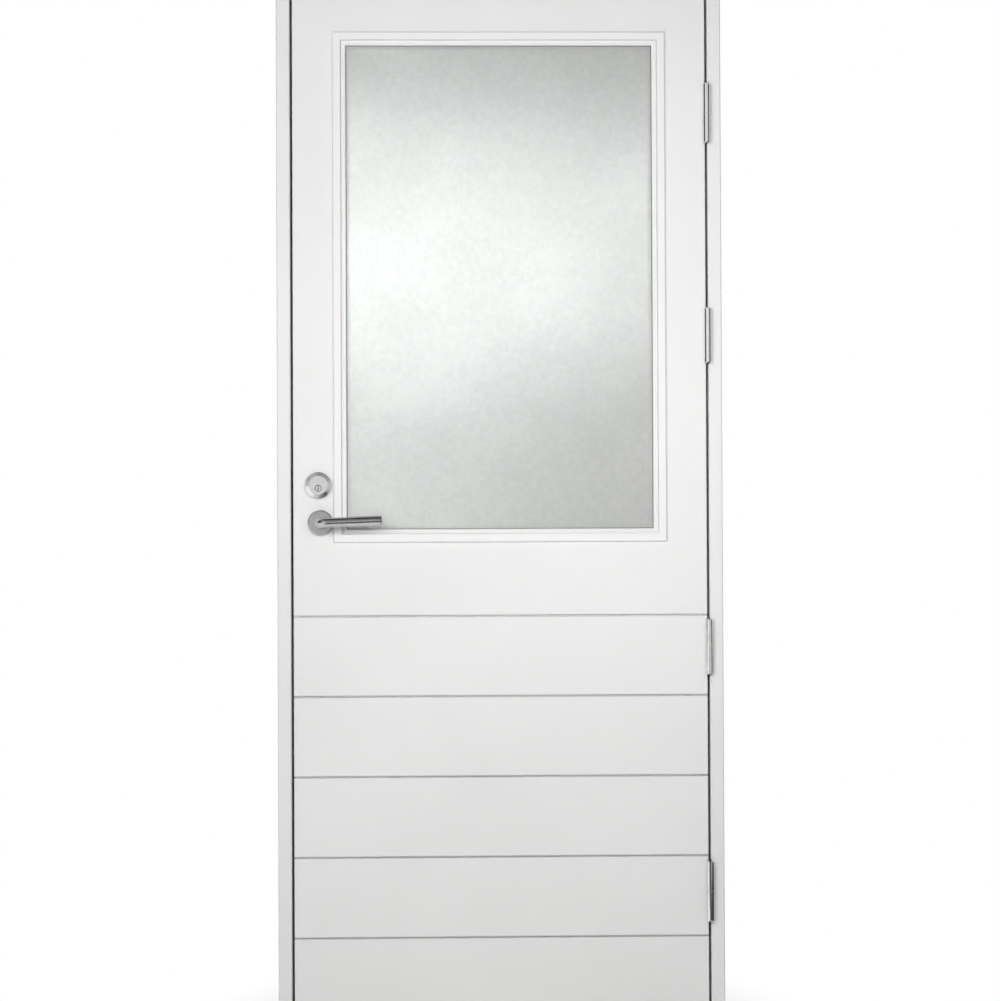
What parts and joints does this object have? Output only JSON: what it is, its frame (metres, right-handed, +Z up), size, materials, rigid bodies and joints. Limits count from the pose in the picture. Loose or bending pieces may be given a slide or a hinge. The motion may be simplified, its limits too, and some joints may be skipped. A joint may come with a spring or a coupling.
{
  "type": "balcony door",
  "caption": "White outward-opening balcony door in its frame: glazed upper half with obscured glass, grooved lower half, lift-off hinges on the right and a lever handle.",
  "frame": {"origin": "underside of the threshold, middle of the frame's width and depth", "axes": "+Z up, +X towards the hinges, -Y outdoors, the side that the picture shows"},
  "size_m": [0.89, 0.193, 2.09],
  "materials": {
    "frame_paint": "white painted timber, satin",
    "leaf_paint": "white painted board, satin",
    "casing_white": "white, semi-gloss",
    "obscured_glass": "obscured, fine mottled",
    "clear_glass": "clear",
    "aluminium": "mill finish",
    "hardwood": "oiled hardwood",
    "seal_rubber": "black, matt",
    "hinge_steel": "polished steel",
    "handle_steel": "satin",
    "cylinder_chrome": "satin chrome",
    "lock_steel": "satin"
  },
  "bodies": {
    "frame": {"hinge_jamb": "frame_paint", "lock_jamb": "frame_paint", "head": "frame_paint", "threshold": "hardwood", "threshold_plate": "aluminium", "strike_plate": "lock_steel", "hinge_seal": "seal_rubber", "lock_seal": "seal_rubber", "head_seal": "seal_rubber", "threshold_seal": "seal_rubber", "top_hinge_frame_half": "hinge_steel", "upper_hinge_frame_half": "hinge_steel", "lower_hinge_frame_half": "hinge_steel", "bottom_hinge_frame_half": "hinge_steel"},
    "leaf": {"lock_stile": "leaf_paint", "hinge_stile": "leaf_paint", "top_rail": "leaf_paint", "middle_rail": "leaf_paint", "bottom_rail": "leaf_paint", "outer_sheet": "leaf_paint", "inner_sheet": "leaf_paint", "outer_pane": "obscured_glass", "inner_pane": "clear_glass", "pane_spacer": "aluminium", "outer_casing_top": "casing_white", "outer_casing_bottom": "casing_white", "outer_casing_lock_side": "casing_white", "outer_casing_hinge_side": "casing_white", "inner_casing_top": "casing_white", "inner_casing_bottom": "casing_white", "inner_casing_lock_side": "casing_white", "inner_casing_hinge_side": "casing_white", "top_hinge_leaf_half": "hinge_steel", "upper_hinge_leaf_half": "hinge_steel", "lower_hinge_leaf_half": "hinge_steel", "bottom_hinge_leaf_half": "hinge_steel", "outer_rose": "handle_steel", "inner_rose": "handle_steel", "turn_rose": "handle_steel", "cylinder_ring": "cylinder_chrome", "cylinder_plug": "cylinder_chrome", "thumb_turn": "handle_steel", "lock_faceplate": "lock_steel", "latch_bolt": "lock_steel"},
    "lever": {"outer_lever": "handle_steel", "inner_lever": "handle_steel", "spindle": "lock_steel"}
  },
  "joints": [
    {"name": "door_swing", "type": "hinge", "parent": "frame", "child": "leaf", "pos_m": [0.4155, -0.074, 0], "axis": [0, 0, 1], "range_deg": [0, 170]},
    {"name": "lever_turn", "type": "hinge", "parent": "leaf", "child": "lever", "pos_m": [-0.3585, -0.034, 1.0015], "axis": [0, 1, 0], "range_deg": [0, 45], "stiffness_Nm_per_rad": 1, "springref_deg": -40.11}
  ]
}
